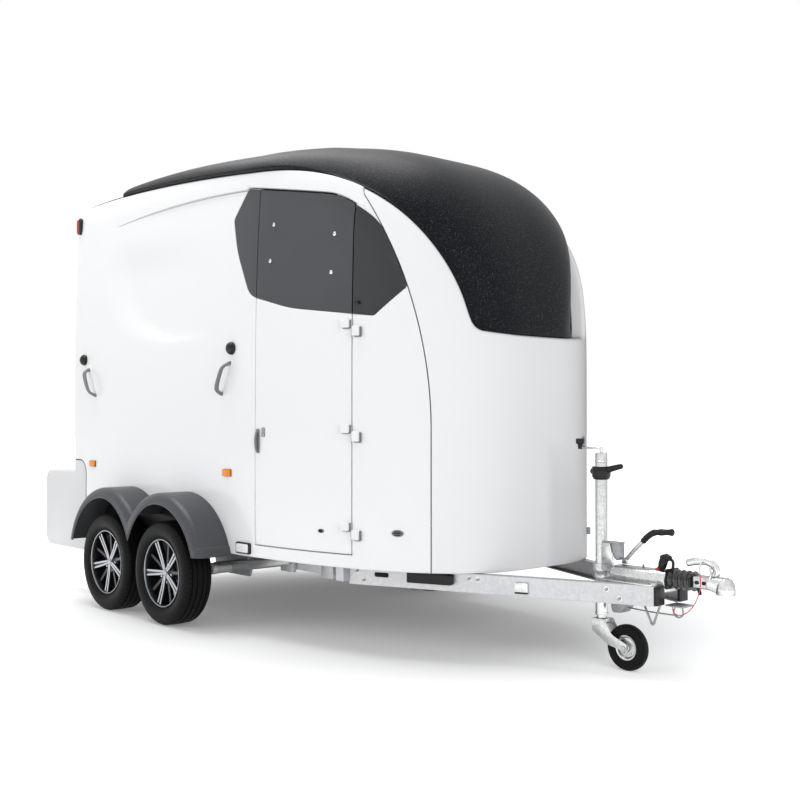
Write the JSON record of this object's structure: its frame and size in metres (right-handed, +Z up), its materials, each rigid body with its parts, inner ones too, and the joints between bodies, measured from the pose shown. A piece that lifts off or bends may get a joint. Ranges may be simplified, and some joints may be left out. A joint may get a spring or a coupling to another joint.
{
  "type": "horse trailer",
  "caption": "Closed tandem-axle trailer for carrying horses, with a round nose, rear ramp, upper rear flap, side entry door and V drawbar.",
  "frame": {"origin": "middle of the overall length and width, on the ground", "axes": "+X forward to the coupling, +Y to the trailer's left, +Z up"},
  "size_m": [5.025, 2.2, 2.8507],
  "materials": {
    "white_body": "white gelcoat, glossy",
    "black_roof": "black, finely textured",
    "window_glass": "dark tinted, smooth",
    "red_lens": "clear red lens",
    "deck_board": "coated deck board",
    "galvanised_steel": "hot-dip galvanised, matt",
    "dark_plastic": "anthracite moulded plastic",
    "alloy": "cast wheel with machined spokes",
    "tyre": "black rubber"
  },
  "bodies": {
    "trailer": {"side_wall_right": "white_body", "side_wall_left": "white_body", "nose_shell": "white_body", "rear_crown": "white_body", "roof_shell": "black_roof", "rear_portal": "white_body", "window_rear": "window_glass", "window_front": "window_glass", "window_left": "window_glass", "light_pod_right": "white_body", "light_pod_left": "white_body", "tail_lamp_right": "red_lens", "tail_lamp_left": "red_lens", "floor": "deck_board", "chassis_rail_right": "galvanised_steel", "chassis_rail_left": "galvanised_steel", "cross_member_front": "galvanised_steel", "cross_member_rear": "galvanised_steel", "drawbar_beam_right": "galvanised_steel", "drawbar_beam_left": "galvanised_steel", "axle_beam_front": "galvanised_steel", "axle_beam_rear": "galvanised_steel", "swing_arm_front_right": "galvanised_steel", "swing_arm_front_left": "galvanised_steel", "swing_arm_rear_right": "galvanised_steel", "swing_arm_rear_left": "galvanised_steel", "mudguard_right": "dark_plastic", "mudguard_left": "dark_plastic", "overrun_housing": "galvanised_steel", "bellows": "dark_plastic", "coupling_head": "galvanised_steel", "handbrake_lever": "galvanised_steel", "jockey_tube": "galvanised_steel", "grab_handle_rear": "dark_plastic", "grab_handle_front": "dark_plastic", "buffer_knob_rear": "dark_plastic", "buffer_knob_front": "dark_plastic", "high_lamp_right": "red_lens", "high_lamp_left": "red_lens"},
    "entry_door": {"entry_door": "white_body", "window_door": "window_glass", "door_handle": "dark_plastic"},
    "rear_ramp": {"rear_ramp": "white_body"},
    "rear_flap": {"rear_flap": "white_body"},
    "wheel_front_right": {"rim_front_right": "alloy", "tyre_front_right": "tyre"},
    "wheel_front_left": {"rim_front_left": "alloy", "tyre_front_left": "tyre"},
    "wheel_rear_right": {"rim_rear_right": "alloy", "tyre_rear_right": "tyre"},
    "wheel_rear_left": {"rim_rear_left": "alloy", "tyre_rear_left": "tyre"},
    "jockey_leg": {"jockey_leg": "galvanised_steel"},
    "jockey_wheel": {"jockey_wheel": "tyre"}
  },
  "joints": [
    {"name": "entry_door_hinge", "type": "hinge", "parent": "trailer", "child": "entry_door", "pos_m": [0.81, -0.792, 1.2], "axis": [0, 0, 1], "range_deg": [0, 110]},
    {"name": "rear_ramp_hinge", "type": "hinge", "parent": "trailer", "child": "rear_ramp", "pos_m": [-2.1025, 0, 0.465], "axis": [0, -1, 0], "range_deg": [0, 108]},
    {"name": "rear_flap_hinge", "type": "hinge", "parent": "trailer", "child": "rear_flap", "pos_m": [-2.0685, 0, 2.545], "axis": [0, 1, 0], "range_deg": [0, 85]},
    {"name": "wheel_front_right_spin", "type": "hinge", "parent": "trailer", "child": "wheel_front_right", "pos_m": [-0.5685, -0.9875, 0.302], "axis": [0, 1, 0], "continuous": true},
    {"name": "wheel_front_left_spin", "type": "hinge", "parent": "trailer", "child": "wheel_front_left", "pos_m": [-0.5685, 0.9875, 0.302], "axis": [0, 1, 0], "continuous": true},
    {"name": "wheel_rear_right_spin", "type": "hinge", "parent": "trailer", "child": "wheel_rear_right", "pos_m": [-1.2425, -0.9875, 0.302], "axis": [0, 1, 0], "continuous": true},
    {"name": "wheel_rear_left_spin", "type": "hinge", "parent": "trailer", "child": "wheel_rear_left", "pos_m": [-1.2425, 0.9875, 0.302], "axis": [0, 1, 0], "continuous": true},
    {"name": "jockey_swivel", "type": "hinge", "parent": "trailer", "child": "jockey_leg", "pos_m": [1.7875, 0, 0.2], "axis": [0, 0, 1], "continuous": true},
    {"name": "jockey_spin", "type": "hinge", "parent": "jockey_leg", "child": "jockey_wheel", "pos_m": [1.9425, 0, 0.11], "axis": [0, 1, 0], "continuous": true}
  ]
}
